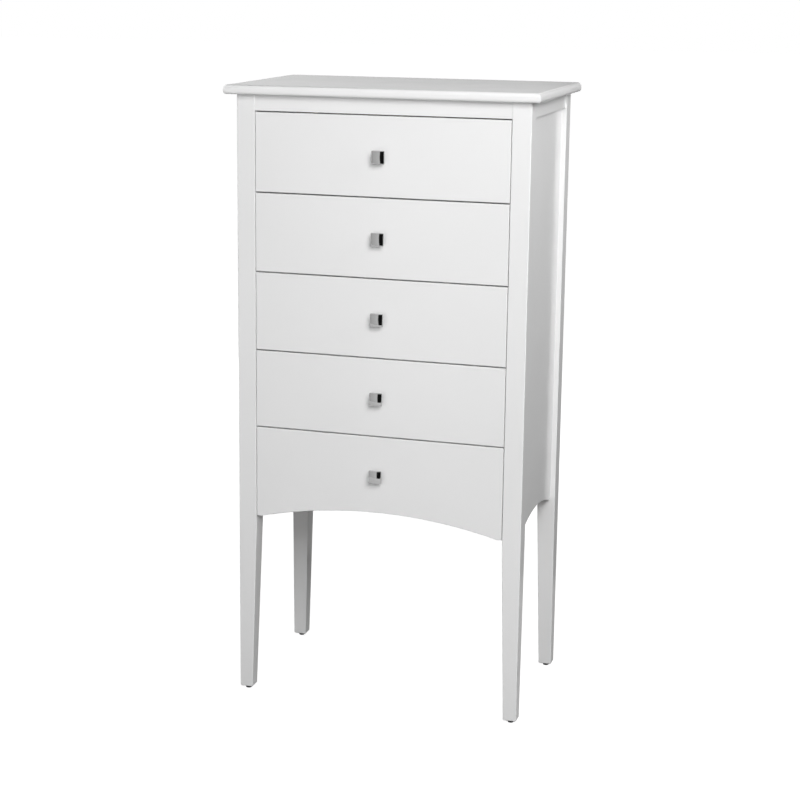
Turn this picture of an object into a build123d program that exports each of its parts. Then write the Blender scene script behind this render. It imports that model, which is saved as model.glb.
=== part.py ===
from build123d import *
import os

# Tall chest of five drawers on tapered legs, every piece its own solid, in millimetres.
# The chest stands on the floor at z = 0, its front faces -Y, and the origin is under the middle of it.

# Overall size
overall_height = 1200.0
body_width = 565.0  # across the outsides of the posts
body_depth = 340.0  # from the front of the front posts to the back of the back posts

# Top
top_thickness = 18.0
top_upper_radius = 7.0  # along the front and both ends
top_lower_radius = 4.0
top_overhang = 20.0  # past the posts at the front and at both ends; the back is flush

# Posts and legs
post_size = 36.0
foot_size = 26.0
post_edge_radius = 1.5
foot_chamfer = 1.6  # round the bottom of a leg
taper_below_skirt = 18.0  # from the ends of the arches down to where the legs start to taper

# Glides under the legs
glide_diameter = 12.0
glide_height = 6.0
glide_chamfer = 1.0
nail_diameter = 2.5
nail_length = 14.0

# Rails
rail_height = 30.0
rail_thickness = 20.0
front_rail_setback = 1.0
side_rail_setback = 3.0
back_bottom_rail_height = 46.0
front_bottom_rail_height = 20.0
front_bottom_rail_thickness = 16.0
front_bottom_rail_above_arch = 4.0
tenon_length = 10.0
tenon_thickness = 8.0
tenon_shoulder = 4.0  # rail left above and below each tenon

# Side panels
panel_thickness = 8.0
panel_setback = 10.0
panel_tongue = 7.0  # how far the panel goes into the posts and the top rail
side_arch_rise = 22.0

# Back panel
back_panel_thickness = 5.0
back_panel_lap = 10.0  # width of the rebate in the back posts

# Drawer fronts
drawer_count = 5
drawer_front_height = 149.2
drawer_front_thickness = 18.0
drawer_front_edge_radius = 1.2
drawer_gap = 2.4  # above each front
drawer_side_gap = 1.0  # between a front and the post beside it
front_arch_rise = 29.5
arch_flat = 10.0  # level stretch at each end of an arch

# Drawer boxes
box_below_front_top = 16.0
box_above_rail = 3.6  # between the lowest box and the rail under it
box_rear_clearance = 7.0  # between a box and the back rails
box_side_clearance = 2.0  # between a box and the posts
box_side_thickness = 15.0
box_back_thickness = 12.0
box_back_drop = 8.0  # the back is this much lower than the sides
box_back_from_end = 6.0
box_bottom_thickness = 4.0
box_bottom_above_edge = 8.0
housing_depth = 4.0  # grooves and housings in the drawer boards

# Runners
runner_height = 16.0
runner_thickness = 8.0
runner_edge_radius = 1.0
runner_stop_gap = 0.5  # between the shut drawer front and the runner ends that stop it
runner_rear_gap = 3.0  # between the runners and the back panel

# Knobs
knob_size = 25.0
knob_projection = 18.0
knob_foot_diameter = 12.0
knob_foot_height = 2.0
knob_foot_chamfer = 0.8
knob_neck_diameter = 9.0
knob_neck_flat = 0.2  # left straight on each side, so that the neck has the corners of the head
knob_neck_length = 4.0  # from the drawer front to where the neck starts to widen
knob_flare = 8.0  # height over which the neck widens to the head
knob_corner_radius = 5.0
knob_dome_radius = 55.0
knob_edge_radius = 2.0
knob_thread_depth = 9.0

# Screws
top_screw_diameter = 4.0
top_screw_head_diameter = 8.0
top_screw_head_height = 3.0
top_screw_length = 32.0
top_screw_bite = 12.0  # how far the screws go into the top
top_screw_spread_x = 300.0
top_screw_spread_y = 140.0
runner_screw_diameter = 3.5
runner_screw_head_diameter = 7.0
runner_screw_length = 19.0
back_screw_diameter = 3.0
back_screw_head_diameter = 6.0
back_screw_length = 14.0
back_screw_spread_z = 180.0
back_screw_rows = 4
knob_screw_diameter = 4.0
knob_screw_head_diameter = 8.0
knob_screw_head_height = 2.5

# Fits
glue_gap = 0.1  # around tenons, tongues and boards that sit in grooves
screw_gap = 0.15  # around a screw in its hole, on the radius
runner_top_gap = 0.3  # between a runner and the groove that rides on it
runner_under_gap = 1.0
runner_side_gap = 0.5

# Levels and planes that follow from the sizes above
front_reach = max(top_overhang, knob_projection)  # how far the top or the knobs stand out in front
front_y = (front_reach - body_depth) / 2
back_y = front_y + body_depth
middle_y = (front_y + back_y) / 2
half_width = body_width / 2
opening_half = half_width - post_size  # from the middle to the inside of a post
post_top = overall_height - top_thickness
rail_bottom = post_top - rail_height
rail_middle_z = post_top - rail_height / 2
drawer_pitch = drawer_front_height + drawer_gap
arch_top = rail_bottom - drawer_count * drawer_pitch
skirt = arch_top - front_arch_rise
taper_top = skirt - taper_below_skirt
side_rail_x = half_width - side_rail_setback - rail_thickness / 2
panel_x = half_width - panel_setback - panel_thickness / 2
front_rail_y = front_y + front_rail_setback + rail_thickness / 2
back_rail_y = back_y - back_panel_thickness - rail_thickness / 2
box_face_y = front_y + drawer_front_thickness  # back of a drawer front
box_end_y = back_rail_y - rail_thickness / 2 - box_rear_clearance
box_outer = opening_half - box_side_clearance
box_inner = box_outer - box_side_thickness
runner_front_y = box_face_y + runner_stop_gap
runner_back_y = back_y - back_panel_thickness - runner_rear_gap
front_bottom_rail_y = runner_front_y + front_bottom_rail_thickness / 2
front_bottom_rail_z = arch_top + front_bottom_rail_above_arch + front_bottom_rail_height / 2
back_bottom_rail_z = skirt + back_bottom_rail_height / 2
groove_depth = runner_thickness - box_side_clearance + runner_side_gap
bottom_groove = box_bottom_thickness + 2 * glue_gap
top_screw_seat_z = post_top + top_screw_bite - top_screw_length
top_screw_recess = top_screw_seat_z - rail_bottom

# Rails across the chest: the depth and height of the middle, and the height of the rail
front_rails = [
    (front_rail_y, rail_middle_z, rail_height),
    (front_bottom_rail_y, front_bottom_rail_z, front_bottom_rail_height),
]
back_rails = [
    (back_rail_y, rail_middle_z, rail_height),
    (back_rail_y, back_bottom_rail_z, back_bottom_rail_height),
]

levels = range(1, drawer_count + 1)  # drawers are numbered from the top
sides = {"left": -1, "right": 1}

os.makedirs("parts", exist_ok=True)


def save(piece, name):
    """Labels a finished piece and writes it under its own name."""
    piece.label = name
    export_step(piece, f"parts/{name}.step")


def cut_box(x_span, y_span, z_span):
    """Cuts a mortise, groove or rebate out of the piece being built, between two spans each way."""
    spans = (x_span, y_span, z_span)
    centre = tuple((start + end) / 2 for start, end in spans)
    size = [abs(end - start) for start, end in spans]
    with Locations(centre):
        Box(*size, mode=Mode.SUBTRACT)


def front_bottom(level):
    """Lower edge of a drawer front, at the top of the arch on the bottom drawer."""
    return rail_bottom - level * drawer_pitch


def box_top(level):
    """Upper edge of a drawer's sides."""
    return front_bottom(level) + drawer_front_height - box_below_front_top


def box_bottom(level):
    """Lower edge of a drawer's sides, clear of the rail under the lowest drawer."""
    return front_bottom(level) + front_bottom_rail_above_arch + front_bottom_rail_height + box_above_rail


def runner_middle(level):
    """Height of the middle of a drawer's runners."""
    return (box_top(level) + box_bottom(level)) / 2


def knob_middle(level):
    """Height of a drawer's knob."""
    return front_bottom(level) + drawer_front_height / 2


# Places of the screws: each plane's z points out of the seat, towards the screw's head
def top_screw_seats():
    """Seats under the rails for the screws that hold the top."""
    half_x = top_screw_spread_x / 2
    half_y = top_screw_spread_y / 2
    spots = [(x, y) for x in (-half_x, half_x) for y in (front_rail_y, back_rail_y)]
    spots += [(s * side_rail_x, middle_y + y) for s in sides.values() for y in (-half_y, half_y)]
    return [Plane(origin=(x, y, top_screw_seat_z), z_dir=(0, 0, -1)) for x, y in spots]


def runner_screw_seats(level):
    """Seats on the inside faces of a pair of runners, one over each post."""
    front_spot = (runner_front_y + front_y + post_size) / 2
    back_spot = (runner_back_y + back_y - post_size) / 2
    face_x = opening_half - runner_thickness
    z = runner_middle(level)
    return [
        Plane(origin=(side * face_x, y, z), x_dir=(0, 1, 0), z_dir=(-side, 0, 0))
        for side in sides.values()
        for y in (front_spot, back_spot)
    ]


def back_screw_seats():
    """Seats on the back panel, up both edges over the back posts."""
    x = opening_half + back_panel_lap / 2
    middle_z = (skirt + post_top) / 2
    first = middle_z - back_screw_spread_z * (back_screw_rows - 1) / 2
    heights = [first + row * back_screw_spread_z for row in range(back_screw_rows)]
    return [
        Plane(origin=(side * x, back_y, z), x_dir=(1, 0, 0), z_dir=(0, 1, 0))
        for side in sides.values()
        for z in heights
    ]


def knob_plane(level):
    """The seat of a knob on its drawer front, facing out."""
    return Plane(origin=(0, front_y, knob_middle(level)), x_dir=(1, 0, 0), z_dir=(0, -1, 0))


def knob_screw_seat(level):
    """Seat of a knob's screw, on the inside of the drawer front."""
    return Plane(origin=(0, box_face_y, knob_middle(level)), x_dir=(1, 0, 0), z_dir=(0, 1, 0))


def make_screws(name, seats, diameter, length, head_diameter, head_height=None):
    """Screws on a list of seats: a flat head of the given height, or else a countersunk one."""
    below_seat = (Align.CENTER, Align.CENTER, Align.MAX)
    above_seat = (Align.CENTER, Align.CENTER, Align.MIN)
    with BuildPart() as screws:
        with Locations(*seats):
            Cylinder(diameter / 2, length, align=below_seat)
            if head_height is None:
                cone_height = (head_diameter - diameter) / 2
                Cone(diameter / 2, head_diameter / 2, cone_height, align=below_seat)
            else:
                Cylinder(head_diameter / 2, head_height, align=above_seat)
    save(screws.part, name)


def draw_arch(low, high, level_z, rise):
    """Draws the lower edge of an arched board: a level stretch, an arc and a level stretch."""
    arc_start = (low + arch_flat, level_z)
    arc_end = (high - arch_flat, level_z)
    Line((low, level_z), arc_start)
    ThreePointArc(arc_start, ((low + high) / 2, level_z + rise), arc_end)
    Line(arc_end, (high, level_z))


# Top: a rounded nose on the front and both ends, square at the back
def make_top():
    """The top, as a front profile crossed with an end-to-end one, so that the corners are mitred."""
    middle_z = post_top + top_thickness / 2
    width = body_width + 2 * top_overhang
    with BuildPart() as top:
        back_edge = Plane(origin=(0, back_y, middle_z), x_dir=(0, 1, 0), z_dir=(1, 0, 0))
        with BuildSketch(back_edge) as profile:
            Rectangle(body_depth + top_overhang, top_thickness, align=(Align.MAX, Align.CENTER))
            fillet(profile.vertices().group_by(Axis.X)[0].group_by(Axis.Y)[-1], top_upper_radius)
            fillet(profile.vertices().group_by(Axis.X)[0].group_by(Axis.Y)[0], top_lower_radius)
        extrude(amount=width / 2, both=True)
        with BuildSketch(Plane(origin=(0, middle_y, middle_z), x_dir=(1, 0, 0), z_dir=(0, -1, 0))) as ends:
            Rectangle(width, top_thickness)
            fillet(ends.vertices().group_by(Axis.Y)[-1], top_upper_radius)
            fillet(ends.vertices().group_by(Axis.Y)[0], top_lower_radius)
        extrude(amount=body_depth, both=True, mode=Mode.INTERSECT)
        for seat in top_screw_seats():
            mouth = Plane(origin=(seat.origin.X, seat.origin.Y, post_top), z_dir=seat.z_dir)
            with Locations(mouth):
                Hole(top_screw_diameter / 2 + screw_gap, top_screw_bite + glue_gap)
    save(top.part, "top_slab")


# Posts: rounded square sections that taper on the two inner faces below the skirt
def cut_mortises(side, corner_y, inward, x_rails):
    """Cuts the mortises of the rails across the chest, and of the side's top rail, into a post."""
    inner_x = side * opening_half
    inner_y = corner_y + inward * post_size
    depth = tenon_length + glue_gap
    half_tenon = tenon_thickness / 2 + glue_gap
    for rail_y, rail_z, height in x_rails:
        half_height = height / 2 - tenon_shoulder + glue_gap
        cut_box(
            (inner_x, inner_x + side * depth),
            (rail_y - half_tenon, rail_y + half_tenon),
            (rail_z - half_height, rail_z + half_height),
        )
    rail_x = side * side_rail_x
    half_height = rail_height / 2 - tenon_shoulder + glue_gap
    cut_box(
        (rail_x - half_tenon, rail_x + half_tenon),
        (inner_y, inner_y - inward * depth),
        (rail_middle_z - half_height, rail_middle_z + half_height),
    )


def cut_panel_groove(side, corner_y, inward):
    """Cuts the groove for the side panel into a post."""
    inner_y = corner_y + inward * post_size
    half_panel = panel_thickness / 2 + glue_gap
    cut_box(
        (side * panel_x - half_panel, side * panel_x + half_panel),
        (inner_y, inner_y - inward * (panel_tongue + glue_gap)),
        (skirt, rail_bottom),
    )


def cut_back_rebate(side):
    """Cuts the rebate and the screw holes for the back panel into a back post."""
    cut_box(
        (side * opening_half, side * (opening_half + back_panel_lap + glue_gap)),
        (back_y - back_panel_thickness - glue_gap, back_y),
        (skirt, post_top),
    )
    depth = back_screw_length - back_panel_thickness + glue_gap
    for seat in back_screw_seats():
        if seat.origin.X * side > 0:
            with Locations(seat.offset(-back_panel_thickness)):
                Hole(back_screw_diameter / 2 + screw_gap, depth)


def drill_runner_holes(side, corner_y):
    """Drills the holes for the runner screws that go into a post."""
    depth = runner_screw_length - runner_thickness + glue_gap
    for level in levels:
        for seat in runner_screw_seats(level):
            if seat.origin.X * side > 0 and abs(seat.origin.Y - corner_y) < post_size:
                with Locations(seat.offset(-runner_thickness)):
                    Hole(runner_screw_diameter / 2 + screw_gap, depth)


def make_post(name, side, is_front):
    """One post, with its leg, rail mortises, panel groove and screw holes."""
    corner_y = front_y if is_front else back_y
    inward = 1 if is_front else -1
    to_corner = (Align.MIN if side < 0 else Align.MAX, Align.MIN if is_front else Align.MAX)
    corner = Plane(origin=(side * half_width, corner_y, 0))
    sole = Plane(origin=(side * (half_width - foot_chamfer), corner_y + inward * foot_chamfer, glide_height))
    sole_size = foot_size - 2 * foot_chamfer
    nail_spot = (side * (half_width - foot_size / 2), corner_y + inward * foot_size / 2, glide_height)
    with BuildPart() as post:
        with BuildSketch(corner.offset(taper_top)):
            RectangleRounded(post_size, post_size, post_edge_radius, align=to_corner)
        extrude(amount=post_top - taper_top)
        with BuildSketch(corner.offset(taper_top)):
            RectangleRounded(post_size, post_size, post_edge_radius, align=to_corner)
        with BuildSketch(corner.offset(glide_height + foot_chamfer)):
            RectangleRounded(foot_size, foot_size, post_edge_radius, align=to_corner)
        with BuildSketch(sole):
            RectangleRounded(sole_size, sole_size, post_edge_radius, align=to_corner)
        loft(ruled=True)
        cut_mortises(side, corner_y, inward, front_rails if is_front else back_rails)
        cut_panel_groove(side, corner_y, inward)
        drill_runner_holes(side, corner_y)
        if not is_front:
            cut_back_rebate(side)
        with Locations(Plane(origin=nail_spot, z_dir=(0, 0, -1))):
            Hole(nail_diameter / 2 + screw_gap, nail_length + glue_gap)
    save(post.part, name)


# Rails: tenoned at both ends into the posts
def make_rail(name, middle, length, height, thickness=rail_thickness, groove_x=None):
    """A rail across the given middle plane, with screw holes and, at a groove's place, a panel groove."""
    with BuildPart() as rail:
        with BuildSketch(middle):
            Rectangle(thickness, height)
        extrude(amount=length / 2, both=True)
        with BuildSketch(middle):
            Rectangle(tenon_thickness, height - 2 * tenon_shoulder)
        extrude(amount=length / 2 + tenon_length, both=True)
        if groove_x is not None:
            half_groove = panel_thickness / 2 + glue_gap
            cut_box(
                (groove_x - half_groove, groove_x + half_groove),
                (middle.origin.Y - length / 2, middle.origin.Y + length / 2),
                (rail_bottom, rail_bottom + panel_tongue + glue_gap),
            )
        box = rail.part.bounding_box()
        for seat in top_screw_seats():
            spot = seat.origin
            inside = box.min.X < spot.X < box.max.X and box.min.Y < spot.Y < box.max.Y
            if inside and box.max.Z > spot.Z > box.min.Z:
                with Locations(seat.offset(top_screw_recess)):
                    CounterBoreHole(
                        top_screw_diameter / 2 + screw_gap,
                        top_screw_head_diameter / 2 + screw_gap,
                        top_screw_recess,
                    )
    save(rail.part, name)


def across(y, z):
    """The middle plane of a rail that runs from left to right."""
    return Plane(origin=(0, y, z), x_dir=(0, 1, 0), z_dir=(1, 0, 0))


def along(x, z):
    """The middle plane of a rail that runs from front to back."""
    return Plane(origin=(x, middle_y, z), x_dir=(1, 0, 0), z_dir=(0, 1, 0))


# Panels
def make_side_panel(name, side):
    """A side panel held in grooves, its lower edge arched between the posts."""
    low = front_y + post_size
    high = back_y - post_size
    panel_top = rail_bottom + panel_tongue
    face = Plane(origin=(side * panel_x - panel_thickness / 2, 0, 0), x_dir=(0, 1, 0), z_dir=(1, 0, 0))
    with BuildPart() as panel:
        with BuildSketch(face):
            with BuildLine():
                draw_arch(low, high, skirt, side_arch_rise)
                Polyline(
                    (high, skirt),
                    (high + panel_tongue, skirt),
                    (high + panel_tongue, rail_bottom),
                    (high, rail_bottom),
                    (high, panel_top),
                    (low, panel_top),
                    (low, rail_bottom),
                    (low - panel_tongue, rail_bottom),
                    (low - panel_tongue, skirt),
                    (low, skirt),
                )
            make_face()
        extrude(amount=panel_thickness)
    save(panel.part, name)


def make_back_panel():
    """The back panel, let into the back posts and screwed up both edges."""
    width = 2 * (opening_half + back_panel_lap)
    face = Plane(origin=(0, back_y, (skirt + post_top) / 2), x_dir=(1, 0, 0), z_dir=(0, 1, 0))
    with BuildPart() as panel:
        with BuildSketch(face):
            Rectangle(width, post_top - skirt)
        extrude(amount=-back_panel_thickness)
        with Locations(*back_screw_seats()):
            CounterSinkHole(
                back_screw_diameter / 2 + screw_gap,
                back_screw_head_diameter / 2 + screw_gap,
                back_panel_thickness,
            )
    save(panel.part, "back_panel")


# Glides
def make_glides():
    """Round nail-on glides, one in the middle of each foot."""
    inset = foot_size / 2
    spots = [
        (side * (half_width - inset), y, 0)
        for side in sides.values()
        for y in (front_y + inset, back_y - inset)
    ]
    on_floor = (Align.CENTER, Align.CENTER, Align.MIN)
    with BuildPart() as glides:
        with Locations(*spots):
            Cylinder(glide_diameter / 2, glide_height, align=on_floor)
        chamfer(glides.edges().group_by(Axis.Z)[0], glide_chamfer)
        with Locations(*spots):
            Cylinder(nail_diameter / 2, glide_height + nail_length, align=on_floor)
    save(glides.part, "leg_glides")


# Runners
def make_runners(level):
    """The pair of runners that a drawer rides on, screwed to the posts."""
    centre_x = opening_half - runner_thickness / 2
    end = Plane(origin=(0, runner_front_y, runner_middle(level)), x_dir=(1, 0, 0), z_dir=(0, -1, 0))
    with BuildPart() as runners:
        with BuildSketch(end):
            with Locations((-centre_x, 0), (centre_x, 0)):
                Rectangle(runner_thickness, runner_height)
        extrude(amount=runner_front_y - runner_back_y)
        long_edges = runners.edges().filter_by(Axis.Y)
        inner_edges = long_edges.filter_by(lambda edge: abs(edge.center().X) < centre_x)
        fillet(inner_edges, runner_edge_radius)
        with Locations(*runner_screw_seats(level)):
            CounterSinkHole(
                runner_screw_diameter / 2 + screw_gap,
                runner_screw_head_diameter / 2 + screw_gap,
                runner_thickness,
            )
    save(runners.part, f"drawer_{level}_runners")


# Drawer pieces
def make_drawer_front(level):
    """A drawer front with eased edges, housings for the box and, on the bottom drawer, an arched edge."""
    width = 2 * (opening_half - drawer_side_gap)
    bottom_z = front_bottom(level)
    top_z = bottom_z + drawer_front_height
    low = -width / 2
    high = width / 2
    is_lowest = level == drawer_count
    with BuildPart() as front:
        with BuildSketch(Plane(origin=(0, front_y, 0), x_dir=(1, 0, 0), z_dir=(0, -1, 0))):
            with BuildLine():
                if is_lowest:
                    draw_arch(low, high, skirt, front_arch_rise)
                    Polyline((high, skirt), (high, top_z), (low, top_z), (low, skirt))
                else:
                    Polyline((low, bottom_z), (high, bottom_z), (high, top_z), (low, top_z), close=True)
            make_face()
        extrude(amount=-drawer_front_thickness)
        face = front.faces().sort_by(Axis.Y)[0]
        fillet(face.edges(), drawer_front_edge_radius)
        housing_y = box_face_y - housing_depth - glue_gap
        for side in sides.values():
            cut_box(
                (side * (box_inner - glue_gap), side * (box_outer + glue_gap)),
                (housing_y, box_face_y),
                (box_bottom(level) - glue_gap, box_top(level) + glue_gap),
            )
        groove_z = box_bottom(level) + box_bottom_above_edge - glue_gap
        cut_box((-box_inner, box_inner), (housing_y, box_face_y), (groove_z, groove_z + bottom_groove))
        with Locations(knob_screw_seat(level)):
            Hole(knob_screw_diameter / 2 + screw_gap, drawer_front_thickness)
    save(front.part, f"drawer_{level}_front")


def make_drawer_side(level, name, side):
    """A drawer side, grooved outside for the runner and inside for the bottom and the back."""
    inner_x = side * box_inner
    outer_x = side * box_outer
    low_z = box_bottom(level)
    end = Plane(
        origin=((inner_x + outer_x) / 2, box_face_y - housing_depth, (low_z + box_top(level)) / 2),
        x_dir=(1, 0, 0),
        z_dir=(0, -1, 0),
    )
    housing_x = (inner_x, inner_x + side * (housing_depth + glue_gap))
    runner_low = runner_middle(level) - runner_height / 2 - runner_under_gap
    runner_high = runner_middle(level) + runner_height / 2 + runner_top_gap
    groove_z = low_z + box_bottom_above_edge - glue_gap
    back_face = box_end_y - box_back_from_end
    with BuildPart() as board:
        with BuildSketch(end):
            Rectangle(box_side_thickness, box_top(level) - low_z)
        extrude(amount=-(box_end_y - box_face_y + housing_depth))
        cut_box((outer_x, outer_x - side * groove_depth), (box_face_y, box_end_y), (runner_low, runner_high))
        cut_box(housing_x, (box_face_y - housing_depth, box_end_y), (groove_z, groove_z + bottom_groove))
        cut_box(
            housing_x,
            (back_face - box_back_thickness - glue_gap, back_face + glue_gap),
            (groove_z + bottom_groove, box_top(level)),
        )
    save(board.part, f"drawer_{level}_{name}_side")


def make_drawer_back(level):
    """A drawer back, housed in the sides and standing on the bottom."""
    low_z = box_bottom(level) + box_bottom_above_edge + box_bottom_thickness + glue_gap
    high_z = box_top(level) - box_back_drop
    face_y = box_end_y - box_back_from_end
    face = Plane(origin=(0, face_y, (low_z + high_z) / 2), x_dir=(1, 0, 0), z_dir=(0, -1, 0))
    with BuildPart() as board:
        with BuildSketch(face):
            Rectangle(2 * (box_inner + housing_depth), high_z - low_z)
        extrude(amount=box_back_thickness)
    save(board.part, f"drawer_{level}_back")


def make_drawer_bottom(level):
    """A drawer bottom, slid in under the back along grooves in the sides and the front."""
    low_y = box_face_y - housing_depth
    high_y = box_end_y - box_back_from_end
    low_z = box_bottom(level) + box_bottom_above_edge
    half = box_inner + housing_depth
    with BuildPart() as board:
        with BuildSketch(Plane.XY.offset(low_z)):
            with BuildLine():
                Polyline(
                    (-box_inner, low_y),
                    (box_inner, low_y),
                    (box_inner, box_face_y),
                    (half, box_face_y),
                    (half, high_y),
                    (-half, high_y),
                    (-half, box_face_y),
                    (-box_inner, box_face_y),
                    close=True,
                )
            make_face()
        extrude(amount=box_bottom_thickness)
    save(board.part, f"drawer_{level}_bottom")


def make_knob(level):
    """A square cushion knob: a round foot and neck that flare into a domed, rounded head."""
    seat = knob_plane(level)
    neck_corner = (knob_neck_diameter - knob_neck_flat) / 2
    head_back = knob_neck_length + knob_flare
    with BuildPart() as knob:
        with BuildSketch(seat):
            Circle(knob_foot_diameter / 2)
        extrude(amount=knob_foot_height)
        chamfer(knob.faces().sort_by(Axis.Y)[0].edges(), knob_foot_chamfer)
        with BuildSketch(seat):
            RectangleRounded(knob_neck_diameter, knob_neck_diameter, neck_corner)
        extrude(amount=knob_neck_length)
        with BuildSketch(seat.offset(knob_neck_length)):
            RectangleRounded(knob_neck_diameter, knob_neck_diameter, neck_corner)
        with BuildSketch(seat.offset(head_back)):
            RectangleRounded(knob_size, knob_size, knob_corner_radius)
        loft()
        with BuildSketch(seat.offset(head_back)):
            RectangleRounded(knob_size, knob_size, knob_corner_radius)
        extrude(amount=knob_projection - head_back)
        with Locations(seat.offset(knob_projection - knob_dome_radius)):
            Sphere(knob_dome_radius, mode=Mode.INTERSECT)
        dome = knob.faces().sort_by(Axis.Y)[0]
        fillet(dome.edges(), knob_edge_radius)
        with Locations(Plane(origin=seat.origin, x_dir=(1, 0, 0), z_dir=(0, 1, 0))):
            Hole(knob_screw_diameter / 2 + screw_gap, knob_thread_depth)
    save(knob.part, f"drawer_{level}_knob")


# The carcass
make_top()
for side_name, side_sign in sides.items():
    make_post(f"front_{side_name}_post", side_sign, True)
    make_post(f"back_{side_name}_post", side_sign, False)
    make_rail(
        f"{side_name}_top_rail",
        along(side_sign * side_rail_x, rail_middle_z),
        body_depth - 2 * post_size,
        rail_height,
        groove_x=side_sign * panel_x,
    )
    make_side_panel(f"{side_name}_side_panel", side_sign)
make_rail("front_top_rail", across(front_rail_y, rail_middle_z), 2 * opening_half, rail_height)
make_rail("back_top_rail", across(back_rail_y, rail_middle_z), 2 * opening_half, rail_height)
make_rail(
    "front_bottom_rail",
    across(front_bottom_rail_y, front_bottom_rail_z),
    2 * opening_half,
    front_bottom_rail_height,
    front_bottom_rail_thickness,
)
make_rail(
    "back_bottom_rail",
    across(back_rail_y, back_bottom_rail_z),
    2 * opening_half,
    back_bottom_rail_height,
)
make_back_panel()
make_glides()
make_screws(
    "top_screws",
    top_screw_seats(),
    top_screw_diameter,
    top_screw_length,
    top_screw_head_diameter,
    top_screw_head_height,
)
make_screws(
    "runner_screws",
    [seat for level in levels for seat in runner_screw_seats(level)],
    runner_screw_diameter,
    runner_screw_length,
    runner_screw_head_diameter,
)
make_screws(
    "back_panel_screws",
    back_screw_seats(),
    back_screw_diameter,
    back_screw_length,
    back_screw_head_diameter,
)

# The drawers
for drawer in levels:
    make_runners(drawer)
    make_drawer_front(drawer)
    for side_name, side_sign in sides.items():
        make_drawer_side(drawer, side_name, side_sign)
    make_drawer_back(drawer)
    make_drawer_bottom(drawer)
    make_knob(drawer)
    make_screws(
        f"drawer_{drawer}_knob_screw",
        [knob_screw_seat(drawer)],
        knob_screw_diameter,
        drawer_front_thickness + knob_thread_depth - glue_gap,
        knob_screw_head_diameter,
        knob_screw_head_height,
    )
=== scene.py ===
"""Dresses the tall chest of drawers: paint, bare wood, chrome knobs, screws, glides and the studio."""

import logging
import math
from collections.abc import Callable, Mapping
from dataclasses import dataclass, field, replace
from enum import Enum

import bmesh
import bpy
from mathutils import Euler, Matrix, Vector


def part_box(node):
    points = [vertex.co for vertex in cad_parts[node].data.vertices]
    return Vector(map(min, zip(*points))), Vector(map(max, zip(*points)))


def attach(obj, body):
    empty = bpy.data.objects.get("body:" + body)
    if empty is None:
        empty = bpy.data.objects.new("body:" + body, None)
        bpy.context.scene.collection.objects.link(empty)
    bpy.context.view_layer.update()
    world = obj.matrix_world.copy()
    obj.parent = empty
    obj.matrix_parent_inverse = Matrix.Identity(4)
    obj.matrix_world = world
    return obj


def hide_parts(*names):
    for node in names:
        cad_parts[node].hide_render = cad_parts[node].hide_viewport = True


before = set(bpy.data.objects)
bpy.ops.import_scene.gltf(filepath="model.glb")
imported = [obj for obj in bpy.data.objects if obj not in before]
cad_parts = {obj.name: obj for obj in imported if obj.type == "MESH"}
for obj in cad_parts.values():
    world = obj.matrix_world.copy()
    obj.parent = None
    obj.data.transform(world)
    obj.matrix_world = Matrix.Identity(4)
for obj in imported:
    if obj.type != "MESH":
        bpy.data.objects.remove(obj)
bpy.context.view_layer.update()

LOG = logging.getLogger("chest")
MM = 0.001
IMAGE_PIXELS = 800.0  # width and height of the photograph
SENSOR_MM = 36.0  # width of the camera's sensor
DRAWERS = 5
UP = Vector((0.0, 0.0, 1.0))
DOWN = Vector((0.0, 0.0, -1.0))
BACKWARDS = Vector((0.0, 1.0, 0.0))
RIGHT = Vector((1.0, 0.0, 0.0))
SMOOTH_ANGLE = math.radians(35.0)  # faces that meet at less than this are shaded as one round
CORNER_ANGLE = math.radians(60.0)  # edges that turn by more than this are corners
TOUCH = 0.1 * MM  # nearer than this counts as the same place
WELD = 0.001 * MM  # points of the solids' meshes that are nearer than this are one
STRAIGHT = 0.99  # a face points straight up or down where its normal has more than this along Z

Socket = bpy.types.NodeSocket
Material = bpy.types.Material
Colour = tuple[float, float, float, float]
Box = tuple[Vector, Vector]
FaceTest = Callable[[bmesh.types.BMFace], bool]
EdgeTest = Callable[[bmesh.types.BMEdge], bool]


class ScrewHead(Enum):
    """The shapes of screw head on the chest."""

    PAN = "pan"
    COUNTERSUNK = "countersunk"


def grey(value: float) -> Colour:
    """Returns a neutral colour of the given linear value."""
    return (value, value, value, 1.0)


# Wiring of materials


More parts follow.
